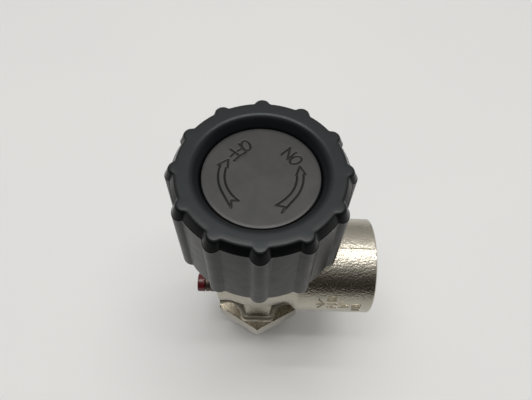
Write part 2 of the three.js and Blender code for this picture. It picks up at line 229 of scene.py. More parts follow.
def set_zones(made, zones):
    """Sorts the faces into numbered zones, to which piece() gives finishes in the same order."""
    made.data.materials.clear()
    for _ in range(max(zones) + 1):
        made.data.materials.append(bpy.data.materials.new("zone"))
    made.data.polygons.foreach_set("material_index", np.asarray(zones, np.int32))


def piece(made, name, body, node, materials):
    """Names a finished mesh, gives it its finishes and fixes it to its body in place of its CAD node."""
    made.name = name
    made.data.name = name
    zones = np.empty(len(made.data.polygons), np.int32)
    made.data.polygons.foreach_get("material_index", zones)
    made.data.materials.clear()
    for material in materials:
        made.data.materials.append(material)
    made.data.polygons.foreach_set("material_index", zones)
    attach(made, body)
    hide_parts(node)
    return made


# ------------------------------------------------------------------ handwheel

def wheel_outline(size, inset):
    """The ribbed outline drawn in by inset: half comes off each rib's radius, half moves it inwards."""
    outer, knob, hollow = size["ring"] - inset, size["rib"] - 0.5 * inset, RIB_FILLET + 0.3 * inset
    reach, to_rib, centre = outer + hollow, knob + hollow, size["rib_centre"] - 0.5 * inset
    alpha = math.acos((reach ** 2 + centre ** 2 - to_rib ** 2) / (2 * centre * reach))
    beta = math.atan2(reach * math.sin(alpha), reach * math.cos(alpha) - centre)
    pitch = 2 * math.pi / RIB_COUNT
    fx, fy = reach * math.cos(alpha), reach * math.sin(alpha)
    local = np.concatenate([
        arc(fx, -fy, hollow, math.pi - alpha, math.pi - beta, 5),
        arc(centre, 0, knob, -beta, beta, 18)[1:-1],
        arc(fx, fy, hollow, math.pi + beta, math.pi + alpha, 5),
        arc(0, 0, outer, alpha, pitch - alpha, 8)[1:-1],
    ])
    points = []
    for i in range(RIB_COUNT):
        c, s = math.cos(i * pitch + REST_ANGLE), math.sin(i * pitch + REST_ANGLE)
        points.append(local @ np.array([[c, s], [-s, c]]))
    return np.concatenate(points)


def make_handwheel():
    """The knob as one closed grid: skirt, rounded edge, bevel, well, hub socket, hub and the hollow below."""
    levels = []
    rib_tip = UPPER["rib_centre"] + UPPER["rib"]

    def outline(size, inset, z, lift=0.0):
        """Adds a level; lift raises it between the ribs."""
        flat = wheel_outline(size, inset)
        between = np.clip((rib_tip - inset - length(*flat.T)) / (rib_tip - UPPER["ring"]), 0, 1)
        levels.append(np.column_stack([flat, z + lift * between]))

    edge = 0.35
    for k in range(4):
        turn = math.pi / 2 * k / 3
        outline(LOWER, edge * (1 - math.sin(turn)), WHEEL_BOTTOM + edge * (1 - math.cos(turn)))
    start = WHEEL_BOTTOM + edge
    for t in (0.02, 0.25, 0.5, 0.75, 0.98, 1.0):
        size = {key: LOWER[key] * (1 - t) + UPPER[key] * t for key in UPPER}
        outline(size, 0, start + (EDGE_BOTTOM - start) * t, EDGE_LIFT * t * t * t)
    band_start = len(levels) - 1
    band = eased([(0.0, EDGE_BOTTOM), (0.0, EDGE_BOTTOM + 0.12), (0.12, EDGE_BOTTOM + 0.18),
                  (0.2, EDGE_BOTTOM + 0.42), (1.35, 2.72), (1.95, 3.05), (2.85, WHEEL_TOP)], 0.8, 6)
    for inset, z in band[1:]:
        outline(UPPER, inset, z, EDGE_LIFT * (WHEEL_TOP - z) / (WHEEL_TOP - EDGE_BOTTOM))
        if z < WHEEL_TOP - 0.02:
            band_end = len(levels)

    angles = np.arctan2(levels[-1][:, 1], levels[-1][:, 0])

    def circle(radius, z):
        """Adds a level by its radius, or by one radius for each point."""
        radius = np.broadcast_to(radius, angles.shape)
        level = np.full(len(angles), z)
        levels.append(np.column_stack([radius * np.cos(angles), radius * np.sin(angles), level]))

    for r in (20.3, 19.8):
        circle(r, WHEEL_TOP)
    controls = [(18.9, WHEEL_TOP), (17.8, WHEEL_TOP), (17.05, 2.2), (16.15, 0.0)]
    for t in np.linspace(0, 1, 14):
        weights = [(1 - t) ** 3, 3 * t * (1 - t) ** 2, 3 * t * t * (1 - t), t ** 3]
        circle(*[sum(w * c[part] for w, c in zip(weights, controls)) for part in (0, 1)])
    inside = eased([(16.1, -0.3), (15.92, CAP_SEAT), (WELL_RADIUS, CAP_SEAT), (WELL_RADIUS, WELL_FLOOR),
                    (HUB_SOCKET_FLATS / 2 + 1.8, WELL_FLOOR)], 0.3, 3)
    for r, z in inside:
        circle(r, z)
    flat_turn = np.mod(angles - REST_ANGLE, math.pi / 3) - math.pi / 6
    socket = HUB_SOCKET_FLATS / 2 / np.cos(flat_turn)
    circle(socket + 0.2, WELL_FLOOR)
    circle(socket, WELL_FLOOR - 0.2)
    circle(socket, HUB_BOTTOM)
    under = eased([(HUB_RADIUS - 0.8, HUB_BOTTOM), (HUB_RADIUS, HUB_BOTTOM), (HUB_RADIUS + 0.3, WEB_UNDER),
                   (WELL_WALL, WEB_UNDER), (WELL_WALL, CORE_TOP), (SKIRT_INSIDE - 0.3, CORE_TOP),
                   (SKIRT_INSIDE, WHEEL_BOTTOM + 0.4), (SKIRT_INSIDE + 0.3, WHEEL_BOTTOM)], 0.5, 4)
    for r, z in under:
        circle(r, z)
    faces = grid_faces(len(levels), len(angles), closed_rows=True)
    made = mesh_object("handwheel", np.concatenate(levels), faces)
    row = np.arange(len(faces)) // len(angles)
    zone = np.where(row < band_end, WHEEL_BAND, WHEEL_TOP_FACES)
    zone[row < band_start] = WHEEL_SKIRT
    set_zones(made, zone)
    return smooth(made, 50)


# ------------------------------------------------------------------ engraved cap

def polar(radius, degrees):
    turn = math.radians(degrees)
    return np.array([radius * math.cos(turn), radius * math.sin(turn)])


def curved_arrow(inner, outer, tip, barbs, tail, notch):
    """A curved arrow's outline; each point is (radius, degrees), and tail holds its outer and inner point."""
    (barb_out, barb_in), (tail_out, tail_in) = barbs, tail

    def edge(radius, end_radius, start, end):
        """One long edge, which flares out to the tail's radius at its end."""
        steps = 28
        line = []
        for k in range(steps + 1):
            t = k / steps
            flare = max(0.0, (t - 0.62) / 0.38)
            line.append(polar(radius + (end_radius - radius) * flare ** 2, start + (end - start) * t))
        return line

    out_edge = edge(outer, tail_out[0], barb_out[1], tail_out[1])
    in_edge = edge(inner, tail_in[0], barb_in[1], tail_in[1])
    head = [polar(*barb_in), polar(*tip)]
    return [polar(*tip), polar(*barb_out), *out_edge, polar(*notch), *in_edge[::-1], *head]


def letter(strokes, radius, degrees, height=3.4, width=2.2):
    """Strokes drawn in a unit box, set on the cap with their tops towards its centre."""
    turn = math.radians(degrees)
    middle = polar(radius, degrees)
    right, up = np.array([-math.sin(turn), math.cos(turn)]), -np.array([math.cos(turn), math.sin(turn)])
    return [[middle + right * (x - 0.5) * width + up * (y - 0.5) * height for x, y in line]
            for line in strokes]


def oval(steps=28):
    turn = np.linspace(0, 2 * math.pi, steps + 1)
    return [list(zip(0.5 + 0.5 * np.cos(turn), 0.5 + 0.5 * np.sin(turn)))]


LETTERS = {
    "O": oval(),
    "F": [[(0, 0), (0, 1), (1, 1)], [(0, 0.53), (0.8, 0.53)]],
    "N": [[(0, 0), (0, 1), (1, 0), (1, 1)]],
}


def cap_lines():
    """The engraved lines: two arrows, with OFF where clockwise closes and ON where anticlockwise opens."""
    lines = [
        curved_arrow(9.5, 11.2, (10.1, 151.8), ((11.9, 165.6), (9.1, 166.9)), ((12.3, 234.3), (9.6, 235.7)),
                     (10.7, 227.1)),
        curved_arrow(9.3, 11.0, (10.6, 18.1), ((11.6, 3.9), (9.13, 2.6)), ((12.2, -63.6), (9.7, -66.4)),
                     (11.2, -55.9)),
    ]
    for sign, radius, degrees in (("O", 10.5, 114.9), ("F", 10.2, 127.4), ("F", 10.2, 141.7),
                                  ("O", 10.4, 30.2), ("N", 10.3, 46.0)):
        lines += letter(LETTERS[sign], radius, degrees)
    return lines


def distance_to_lines(points, lines):
    """Distance in the plane from each point to the nearest of the lines."""
    nearest = np.full(len(points), np.inf)
    for line in lines:
        line = np.asarray(line, float)
        for a, b in zip(line[:-1], line[1:]):
            along = b - a
            squared = float(along @ along)
            if squared < 1e-9:
                continue
            t = np.clip((points - a) @ along / squared, 0, 1)
            nearest = np.minimum(nearest, np.linalg.norm(points - a - t[:, None] * along, axis=1))
    return nearest


def make_cap():
    """The disc in the handwheel's top, with its lines sunk into a fine polar grid."""
    spokes = 720
    fine = np.arange(8.3, 13.0, 0.085)      # rings stand close together where the lines are
    radii = np.concatenate([np.linspace(1.0, 8.0, 8), fine, [13.6, 14.6, CAP_RADIUS - 0.16]])
    turn = np.linspace(0, 2 * math.pi, spokes, endpoint=False)
    r, a = np.meshgrid(radii, turn, indexing="ij")
    flat = np.stack([(r * np.cos(a)).ravel(), (r * np.sin(a)).ravel()], axis=1)
    depth = np.clip(1 - distance_to_lines(flat, cap_lines()) / (GROOVE_WIDTH / 2), 0, 1)
    depth = GROOVE_DEPTH * depth * depth * (3 - 2 * depth)
    top = np.column_stack([flat, cap_high[2] - depth])
    lip = cap_low[2]
    rim = [(CAP_RADIUS - 0.05, -0.05), (CAP_RADIUS, -0.16), (CAP_RADIUS, CAP_UNDER + 0.1),
           (CAP_RADIUS - 0.1, CAP_UNDER), (14.35, CAP_UNDER), (14.3, CAP_UNDER - 0.1), (14.3, lip + 0.3),
           (14.0, lip), (13.1, lip), (13.0, lip + 0.1), (13.0, CAP_UNDER)]
    rings = [np.column_stack([radius * np.cos(turn), radius * np.sin(turn), np.full(spokes, z)])
             for radius, z in rim]
    vertices = np.concatenate([top, *rings, [(0, 0, cap_high[2]), (0, 0, CAP_UNDER)]])
    rows = len(radii) + len(rim)
    faces = [list(q) for q in grid_faces(rows, spokes)]
    top_pole, under_pole = len(vertices) - 2, len(vertices) - 1
    last = (rows - 1) * spokes
    for j in range(spokes):
        k = (j + 1) % spokes
        faces.append([top_pole, k, j])
        faces.append([under_pole, last + j, last + k])
    made = mesh_object("handwheel_cap", vertices, faces)
    made.data.flip_normals()
    # Faces deep in the grooves take the second, darker finish: painted shade.
    sunk = np.zeros(len(vertices), bool)
    sunk[:len(depth)] = depth > GROOVE_DEPTH * 0.22
    set_zones(made, [int(all(sunk[v] for v in face)) for face in faces])
    return smooth(made, 40)


# ------------------------------------------------------------------ forged body

OUTLET_Z = -54.93
BARREL_RADIUS = 13.8
OUTLET_RADIUS = 16.6
OUTLET_START = 12.6
OUTLET_END = body_high[0]
SOCKET_RADIUS = 12.05
SOCKET_FLOOR = 20.6
PASSAGE_Z = -61.0
PASSAGE_RADIUS = 4.5
SEAT_BORE = 5.5
CHAMBER = 9.2
SPINDLE_BORE = 7.3
BONNET_BORE = 10.1
BONNET_RECESS = 11.6
COLUMN_RADIUS = 14.5
COLUMN_TOP = body_high[2]
COLUMN_BOTTOM = -62.0
HEX_FLATS = 30.4
HEX_TOP = -80.2
HEX_BOTTOM = -87.5
HEX_SLOPE = 0.05
INLET_RADIUS = 10.45
INLET_END = body_low[2]
INLET_BORE = 6.8
PIPE_PITCH = 1.814                          # 14 threads to the inch
PIPE_DEPTH = 1.16
DRAIN_Z = -77.0
DRAIN_BOSS = 3.6
DRAIN_END = -16.3
VOXEL = 0.36
FOOT_FILLET = 2.0
FILLET = 2.4
BARREL_LEFT = -14.2
NECK_HALF = 15.3
NECK_TOP = -61.0
SCOOP_X, SCOOP_Y, SCOOP_RADIUS = 12.0, 12.4, 6.8     # round hollow in each corner of the neck


def length(*parts):
    return np.sqrt(sum(p * p for p in parts))


def box_distance(p, half):
    """Signed distance to a box in as many dimensions as half has numbers."""
    q = [np.abs(x) - h for x, h in zip(p, half)]
    outside = length(*[np.maximum(x, 0) for x in q])
    return outside + np.minimum(np.maximum.reduce(q), 0)


def rod_distance(radial, along, radius, start, end, edge):
    """Signed distance to a cylinder with rounded rims."""
    middle, half = (start + end) / 2, (end - start) / 2
    return box_distance((radial, along - middle), (radius - edge, half - edge)) - edge


def blend(a, b, fillet):
    """Union of two signed distances, with a fillet of that radius in the corner between them."""
    corner = length(np.maximum(fillet - a, 0), np.maximum(fillet - b, 0))
    return np.maximum(fillet, np.minimum(a, b)) - corner


def meet(a, b, rounding):
    """What lies inside two signed distances, with the edge between them rounded."""
    return -blend(-a, -b, rounding)


def hexagon_top(from_stem):
    """Height of the hexagon's top face, which falls away slightly from the neck."""
    return HEX_TOP + HEX_SLOPE * (16.5 - from_stem)


def forging_distance(points):
    """Signed distance, in millimetres, to the forged outside of the body."""
    x, y, z = points.T
    from_stem = length(x, y)
    from_outlet = length(y, z - OUTLET_Z)
    column = rod_distance(from_stem, z, COLUMN_RADIUS, COLUMN_BOTTOM, COLUMN_TOP + 2.0, 0.4)
    barrel = rod_distance(from_outlet, x, BARREL_RADIUS, BARREL_LEFT, 12.0, 1.2)
    outlet = rod_distance(from_outlet, x, OUTLET_RADIUS, OUTLET_START, OUTLET_END + 2.0, 1.6)
    half_depth = 12.74 - 0.1243 * (z + 80.0)
    blank = meet(meet(np.abs(x) - NECK_HALF, np.abs(y) - half_depth, 0.8), z - NECK_TOP, 0.8)
    scoop = SCOOP_RADIUS - length(np.abs(x) - SCOOP_X, np.abs(y) - SCOOP_Y)
    neck = meet(blank, scoop, 1.4)
    boss = rod_distance(length(y, z - DRAIN_Z), x, DRAIN_BOSS, DRAIN_END - 2.0, 2.0, 0.5)
    floor = np.maximum(z - hexagon_top(from_stem) + 0.08, from_stem - 20.0)
    upper = blend(column, blend(barrel, outlet, 4.0), FILLET)
    whole = blend(blend(upper, neck, FILLET), boss, 1.0)
    return blend(whole, floor, FOOT_FILLET)


def make_forging():
    """The forged outside: rough solids merged to an even mesh, whose points then move to the true surface."""
    rough = [
        lathe([(0, COLUMN_BOTTOM), (COLUMN_RADIUS, COLUMN_BOTTOM), (COLUMN_RADIUS, COLUMN_TOP + 2),
               (0, COLUMN_TOP + 2)], 96),
        lathe([(0, HEX_TOP - 3.0), (18.5, HEX_TOP - 3.0), (18.5, HEX_TOP - 0.8), (10.4, HEX_TOP - 0.2),
               (10.4, -52), (0, -52)], 96),
    ]
    for radius, start, end, z in ((BARREL_RADIUS, BARREL_LEFT, 14.0, OUTLET_Z),
                                  (OUTLET_RADIUS, OUTLET_START, OUTLET_END + 2, OUTLET_Z),
                                  (DRAIN_BOSS, DRAIN_END - 2.0, 0.0, DRAIN_Z)):
        vertices, faces = lathe([(0, start), (radius, start), (radius, end), (0, end)], 96)
        rough.append((along_x(vertices, z), faces))
    scoop_end = -math.acos((NECK_HALF - SCOOP_X) / SCOOP_RADIUS)
    corner = arc(SCOOP_X, SCOOP_Y, SCOOP_RADIUS, scoop_end, -math.pi, 16)
    side = np.concatenate([corner, (corner * (-1, 1))[::-1]])
    rough.append(prism(np.concatenate([side, -side]), -82.0, NECK_TOP))
    made = solid(rough)
    remesh = made.modifiers.new("remesh", "REMESH")
    remesh.mode = "VOXEL"
    remesh.voxel_size = VOXEL * MM
    bake(made)
    points = np.empty(len(made.data.vertices) * 3)
    made.data.vertices.foreach_get("co", points)
    points = points.reshape(-1, 3) / MM
    in_hexagon = points[:, 2] < hexagon_top(length(points[:, 0], points[:, 1])) - 0.9
    step = 0.02
    for _ in range(6):
        here = forging_distance(points)
        slope = np.stack([forging_distance(points + step * axis) - forging_distance(points - step * axis)
                          for axis in np.eye(3)], axis=1) / (2 * step)
        steep = np.maximum((slope ** 2).sum(1), 0.3)
        move = -slope * (np.clip(here, -0.5, 0.5) / steep)[:, None]
        move[in_hexagon] = 0
        points = points + move
    made.data.vertices.foreach_set("co", (points * MM).ravel())
    made.data.update()
    return made


def threaded_rod(root, crest, start, end, pitch, columns=96):
    """A closed rod with a right-hand helical thread about Z, running a pitch or more past start and end."""
    form = [(0.0, root), (0.12, root), (0.17, root + 0.06), (0.46, crest - 0.06), (0.51, crest),
            (0.62, crest), (0.67, crest - 0.06), (0.96, root + 0.06)]
    per_pitch = len(form)
    rows = per_pitch * (int(math.ceil((end - start) / pitch)) + 4) + 1
    base = start - 2.5 * pitch
    vertices = []
    for j in range(columns):
        turn = 2 * math.pi * j / columns
        for m in range(rows):
            share, radius = form[m % per_pitch]
            z = base + pitch * (m // per_pitch + share + j / columns)
            vertices.append((radius * math.cos(turn), radius * math.sin(turn), z))

    def at(j, m):
        """The vertex in column j; past the last column the thread has climbed one pitch."""
        return (j % columns) * rows + m + (per_pitch if j == columns else 0)

    faces = []
    for j in range(columns):
        usable = rows - 1 - (per_pitch if j == columns - 1 else 0)
        faces += [[at(j, m), at(j + 1, m), at(j + 1, m + 1), at(j, m + 1)] for m in range(usable)]
    bottom = [at(j, 0) for j in range(columns)] + [at(0, m) for m in range(per_pitch, 0, -1)]
    last_column = [at(columns - 1, m) for m in range(rows - 2, rows - 2 - per_pitch, -1)]
    top = [at(j, rows - 1) for j in range(columns)] + last_column
    for loop, reverse in ((bottom, True), (top, False)):
        centre = len(vertices)
        z = sum(vertices[v][2] for v in loop) / len(loop)
        vertices.append((0.0, 0.0, z))
        for a, b in zip(loop, loop[1:] + loop[:1]):
            faces.append([centre, b, a] if reverse else [centre, a, b])
    return np.array(vertices), faces


def block(low, high):
    """A box between two corners."""
    (x0, y0, z0), (x1, y1, z1) = low, high
    return mesh_object("block", *prism([(x0, y0), (x1, y0), (x1, y1), (x0, y1)], z0, z1))


def make_hexagon(flats, z0, z1, chamfer, first_corner=0.0, top=None):
    """A hexagon, its corners turned down at both ends; top gives a turned top face as (radius, z) points."""
    corner = flats / 2 / math.cos(math.pi / 6)
    drop = chamfer * 0.58
    turn = [first_corner + 2 * math.pi * i / 6 for i in range(6)]
    outline = [(corner * math.cos(a), corner * math.sin(a)) for a in turn]
    made = mesh_object("hexagon", *prism(outline, z0, z1))
    upper_rim = top or [(corner + 0.05, z1 - drop), (corner - chamfer, z1), (0, z1)]
    rim = [(0, z0), (corner - chamfer, z0), (corner + 0.05, z0 + drop), *upper_rim]
    return boolean(made, turned(rim, 192), "INTERSECT")


def make_inlet():
    """The male neck: a threaded rod turned to length, with a chamfer and a seal groove below the hexagon."""
    root, top = INLET_RADIUS - PIPE_DEPTH, HEX_BOTTOM - 2.4
    thread = mesh_object("thread", *threaded_rod(root, INLET_RADIUS, INLET_END, top, PIPE_PITCH))
    outside = [(0, INLET_END), (root - 0.3, INLET_END), (INLET_RADIUS + 0.1, INLET_END + 1.3),
               (INLET_RADIUS + 0.1, top - 0.9), (root - 0.45, top + 0.3), (root - 0.45, HEX_BOTTOM + 0.5),
               (0, HEX_BOTTOM + 0.5)]
    return boolean(thread, turned(outside, 192), "INTERSECT")


def make_outlet_cutter():
    """What is machined from the outlet: end face, broken edge, mouth chamfer, thread and relief behind it."""
    major = SOCKET_RADIUS + PIPE_DEPTH
    rod = threaded_rod(SOCKET_RADIUS, major, SOCKET_FLOOR, OUTLET_END + 4, PIPE_PITCH)
    thread = mesh_object("thread", *rod)
    kept = [(0, SOCKET_FLOOR + 1), (20, SOCKET_FLOOR + 1), (20, OUTLET_END + 2), (0, OUTLET_END + 2)]
    boolean(thread, turned(kept, 96), "INTERSECT")
    faced = [(0, SOCKET_FLOOR), (major + 0.1, SOCKET_FLOOR), (major + 0.1, SOCKET_FLOOR + 2.0),
             (SOCKET_RADIUS, SOCKET_FLOOR + 3.0), (SOCKET_RADIUS, OUTLET_END - 1.6),
             (major + 0.25, OUTLET_END - 0.2), (major + 0.4, OUTLET_END), (OUTLET_RADIUS - 0.35, OUTLET_END),
             (OUTLET_RADIUS + 0.3, OUTLET_END - 0.65), (22, OUTLET_END - 0.65), (22, OUTLET_END + 5),
             (0, OUTLET_END + 5)]
    boolean(thread, turned(faced, 192), "UNION")
    thread.data.transform(Matrix(((0, 0, 1, 0), (0, 1, 0, 0), (-1, 0, 0, OUTLET_Z * MM), (0, 0, 0, 1))))
    return thread


MARKS = [
    [(19.8, 3.4), (22.3, 3.4)], [(20.5, 5.7), (22.3, 3.4), (20.5, 1.1)],
    [(23.4, 5.6), (26.0, 5.6), (26.0, 7.2), (23.4, 7.2), (23.4, 5.6)],
    [(23.6, 3.7), (26.4, 3.7)], [(25.0, 3.7), (25.0, 1.3)], [(23.6, 1.3), (26.4, 1.3)],
    [(27.7, 4.9), (28.3, 4.9)], [(27.6, 3.2), (30.6, 3.2)], [(27.6, 1.8), (30.6, 1.8)],
    [(31.9, 3.3), (34.6, 3.3)], [(31.9, 2.1), (34.4, 2.1)], [(32.2, 0.7), (34.6, 0.7)],
    [(32.2, -0.5), (34.6, -0.5)],
]
MARK_WIDTH = 0.5
MARK_HEIGHT = 0.2


def make_marks():
    """Raised strokes on the outlet's front: a flow arrow and bars, as (x, distance round from level)."""
    bars = []
    for line in MARKS:
        for a, b in zip(line[:-1], line[1:]):
            a, b = np.array(a), np.array(b)
            along = (b - a) / np.linalg.norm(b - a) * MARK_WIDTH / 2
            across = np.array([-along[1], along[0]])
            corners = [a - along - across, b + along - across, b + along + across, a - along + across]
            vertices, faces = prism(corners, OUTLET_RADIUS - 0.4, OUTLET_RADIUS + MARK_HEIGHT)
            x, round_from_level, radius = vertices.T
            turn = round_from_level / OUTLET_RADIUS
            wrapped = np.stack([x, -radius * np.cos(turn), OUTLET_Z + radius * np.sin(turn)], axis=1)
            bars.append((wrapped, faces))
    return solid(bars)


def make_body():
    """The forging, joined to its machined hexagon and neck, and bored, faced and threaded."""
    made = make_forging()
    wide, side, low, high = 40.0, 18.6, -84, -77.2
    sunk = 0.045                            # the forging ends this far below the hexagon's top
    below = [(0, -100), (wide, -100), (wide, hexagon_top(wide) - sunk), (0, hexagon_top(0) - sunk)]
    boolean(made, turned(below, 96), "DIFFERENCE")
    for x0, x1, y0, y1 in ((-side, -NECK_HALF, -wide, -DRAIN_BOSS), (-side, -NECK_HALF, DRAIN_BOSS, wide),
                           (NECK_HALF, side, -wide, wide)):
        boolean(made, block((x0, y0, low), (x1, y1, high)), "DIFFERENCE")
    top = [(17.6, hexagon_top(17.6) - 0.45), (17.0, hexagon_top(17.0)), (0, hexagon_top(0))]
    boolean(made, make_hexagon(HEX_FLATS, HEX_BOTTOM, HEX_TOP + 2.5, 1.1, math.pi / 2, top), "UNION")
    boolean(made, make_inlet(), "UNION")
    boolean(made, make_marks(), "UNION")
    shaft = [(0, INLET_END - 1), (INLET_BORE + 0.6, INLET_END - 1), (INLET_BORE + 0.6, INLET_END),
             (INLET_BORE, INLET_END + 0.6), (INLET_BORE, -73.5), (SEAT_BORE, -71), (SEAT_BORE, -67.5),
             (6.7, -67.5), (6.7, -69), (CHAMBER, -69), (CHAMBER, -54.3), (SPINDLE_BORE, -54.3),
             (SPINDLE_BORE, -44.2), (BONNET_BORE, -44.2), (BONNET_BORE, -37.3), (BONNET_RECESS, -37.3),
             (BONNET_RECESS, COLUMN_TOP), (COLUMN_RADIUS - 0.6, COLUMN_TOP),
             (COLUMN_RADIUS + 0.4, COLUMN_TOP - 1.0), (20, COLUMN_TOP - 1.0), (20, COLUMN_TOP + 4),
             (0, COLUMN_TOP + 4)]
    boolean(made, turned(shaft), "DIFFERENCE")
    boolean(made, make_outlet_cutter(), "DIFFERENCE")
    passage = [(0, 5.0), (PASSAGE_RADIUS, 5.0), (PASSAGE_RADIUS, SOCKET_FLOOR + 1), (0, SOCKET_FLOOR + 1)]
    boolean(made, turned_along_x(passage, PASSAGE_Z, SMALL_ROUND), "DIFFERENCE")
    drain = [(0, DRAIN_END - 4), (8, DRAIN_END - 4), (8, DRAIN_END), (3.0, DRAIN_END),
             (2.5, DRAIN_END + 0.5), (2.5, 0), (0, 0)]
    boolean(made, turned_along_x(drain, DRAIN_Z, SMALL_ROUND), "DIFFERENCE")
    sort_body_faces(made)
    return smooth(made, 32)


FORGED, TURNED_ON_STEM, TURNED_ON_OUTLET, BLASTED_AND_SHADED, FOOT = range(5)     # finishes of the body


def sort_body_faces(made):
    """Gives each face of the body its finish by where it lies, the neck's foot having a duller one."""
    count = len(made.data.polygons)
    centres = np.empty(count * 3)
    made.data.polygons.foreach_get("center", centres)
    x, y, z = (centres.reshape(-1, 3) / MM).T
    from_stem, from_outlet, from_drain = length(x, y), length(y, z - OUTLET_Z), length(y, z - DRAIN_Z)
    on_stem = (z < hexagon_top(from_stem) + 0.02) | (z > COLUMN_TOP - 1.02)
    on_stem |= (from_stem < 9.9) | ((from_stem < BONNET_RECESS + 0.05) & (z > -45))
    on_outlet = (x > SOCKET_FLOOR - 0.1) & (from_outlet < SOCKET_RADIUS + PIPE_DEPTH + 0.5)
    on_outlet |= x > OUTLET_END - 0.68
    on_outlet |= (x > 9.9) & (x < 21) & (length(y, z - PASSAGE_Z) < PASSAGE_RADIUS + 0.1)
    on_outlet |= (x < DRAIN_END + 0.02) | ((from_drain < 3.1) & (x < -8.0))
    zone = np.where(on_outlet, TURNED_ON_OUTLET, np.where(on_stem, TURNED_ON_STEM, FORGED))
    on_top = (np.abs(z - hexagon_top(from_stem)) < 0.04) & (from_stem > 10.0) & (from_stem < 17.1)
    # The hexagon's top takes the darker finish, whose colour is painted shade.
    zone[on_top & (zone == TURNED_ON_STEM)] = BLASTED_AND_SHADED
    zone[(from_outlet > OUTLET_RADIUS + 0.06) & (x > 19.0) & (y < 0)] = BLASTED_AND_SHADED
    zone[(zone == FORGED) & (z < HEX_TOP + FOOT_FILLET)] = FOOT
    set_zones(made, zone)


# ------------------------------------------------------------------ bonnet, drain plug and neck seal

def make_bonnet():
    """The bonnet: a chamfered hexagon on its shank, a round boss above, and three bores through it."""
    made = make_hexagon(24.0, -35.2, -28.2, 0.9)
    shank = eased([(0, -42.6), (9.8, -42.6), (9.8, -36.4), (9.3, -36.1), (9.3, -34.5), (0, -34.5)], 0.3, 3)
    boss = eased([(0, -29.0), (8.5, -29.0), (8.5, -25.6), (0, -25.6)], 0.5, 4)
    bores = [(0, -43.6), (8.5, -43.6), (8.2, -42.3), (8.2, -38.6), (5.3, -38.6), (5.3, -30.6), (6.7, -30.6),
             (6.7, -25.9), (7.0, -25.5), (7.0, -24.6), (0, -24.6)]
    boolean(made, turned(shank, 128), "UNION")
    boolean(made, turned(boss, 128), "UNION")
    boolean(made, turned(bores, 96), "DIFFERENCE")
    return smooth(made, 30)


def make_drain_plug():
    """The plug's stub, head and shank, with a turned groove in the head and a narrow neck behind it."""
    profile = eased([(0, -22.7), (2.7, -22.7), (2.7, -20.9), (3.45, -20.9), (3.45, -19.6), (3.2, -19.45),
                     (3.2, -19.15), (3.45, -19.0), (3.45, -17.1), (2.2, -17.1), (2.2, -16.0), (2.3, -15.8),
                     (2.3, -8.7), (2.0, -8.4), (0, -8.4)], 0.15, 3)
    return smooth(turned_along_x(profile, DRAIN_Z, 96), 40)


def make_drain_cap():
    """The red cap: a smooth cup with a rounded outer edge and a faint dish in its end."""
    profile = eased([(0, -23.95), (2.3, -24.1), (3.55, -24.1), (3.55, -21.2), (2.9, -21.2), (2.9, -22.9),
                     (0, -22.9)], 0.35, 5)
    return smooth(turned_along_x(profile, DRAIN_Z, 128), 50)


def make_neck_ring():
    """The seal in the groove below the hexagon."""
    turn = np.linspace(0, 2 * math.pi, 20, endpoint=False)
    section = 0.9
    profile = [(10.0 + section * math.cos(a), HEX_BOTTOM - 1.05 + section * math.sin(a)) for a in turn]
    return smooth(turned(profile + profile[:1]), 60)


# ------------------------------------------------------------------ materials

def new_material(name):
    """An empty metal or plastic: (material, its node tree, its shader node)."""
    material = bpy.data.materials.new(name)
    material.use_nodes = True
    tree = material.node_tree
    return material, tree, tree.nodes["Principled BSDF"]


def fill(tree, node, sockets):
    """Sets a node's sockets: a value is stored on the socket, and another node's socket is linked to it."""
    for key, value in sockets.items():
        socket = node.inputs[key]
        if isinstance(value, bpy.types.NodeSocket):
            tree.links.new(value, socket)
        else:
            socket.default_value = value
    return node


def add(tree, kind, settings=None, **sockets):
    """A new node with its settings and sockets set; an underscore in a socket's name stands for a space."""
    node = tree.nodes.new(kind)
    for key, value in (settings or {}).items():
        setattr(node, key, value)
    return fill(tree, node, {key.replace("_", " "): value for key, value in sockets.items()})


def math_node(tree, operation, *values, clamp=False):
    node = add(tree, "ShaderNodeMath", {"operation": operation, "use_clamp": clamp})
    fill(tree, node, dict(enumerate(values)))
    return node.outputs[0]


def place(tree):
    """The point being shaded, in metres, in the piece's own axes."""
    return add(tree, "ShaderNodeTexCoord").outputs["Object"]


def noise(tree, scale, detail=2.0, roughness=0.5, stretch=(1.0, 1.0, 1.0), distortion=0.0):
    """Noise over the piece, from 0 to 1; stretch multiplies the scale along each axis."""
    mapping = add(tree, "ShaderNodeMapping", Vector=place(tree), Scale=stretch)
    node = add(tree, "ShaderNodeTexNoise", Vector=mapping.outputs[0], Scale=scale, Detail=detail,
               Roughness=roughness, Distortion=distortion)
    return node.outputs["Fac"]


def remap(tree, value, low, high, to_low, to_high):
    """A value spread from one range to another, and held inside it."""
    node = add(tree, "ShaderNodeMapRange", Value=value, From_Min=low, From_Max=high,
               To_Min=to_low, To_Max=to_high)
    return node.outputs[0]


def mixed(tree, factor, first, second):
    """Colours mixed by a factor; each is (r, g, b) or a colour socket."""
    node = tree.nodes.new("ShaderNodeMix")
    node.data_type = "RGBA"
    colours = {6: first, 7: second}
    for key, value in colours.items():
        if isinstance(value, tuple):
            node.inputs[key].default_value = (*value, 1.0)
        else:
            tree.links.new(value, node.inputs[key])
    if isinstance(factor, bpy.types.NodeSocket):
        tree.links.new(factor, node.inputs[0])
    else:
        node.inputs[0].default_value = factor
    return node.outputs[2]


def clouded(tree, cloud, first, second):
    """Two colours mixed by noise."""
    return mixed(tree, remap(tree, cloud, 0.3, 0.7, 0.0, 1.0), first, second)


def bumps(tree, *layers):
    """Bump from (height socket, distance in metres) layers."""
    normal = None
    for height, distance in layers:
        node = add(tree, "ShaderNodeBump", Height=height, Distance=distance, Strength=1.0)
        if normal:
            tree.links.new(normal, node.inputs["Normal"])
        normal = node.outputs[0]
    return normal


def axis_parts(tree):
    parts = add(tree, "ShaderNodeSeparateXYZ", Vector=place(tree))
    return parts.outputs


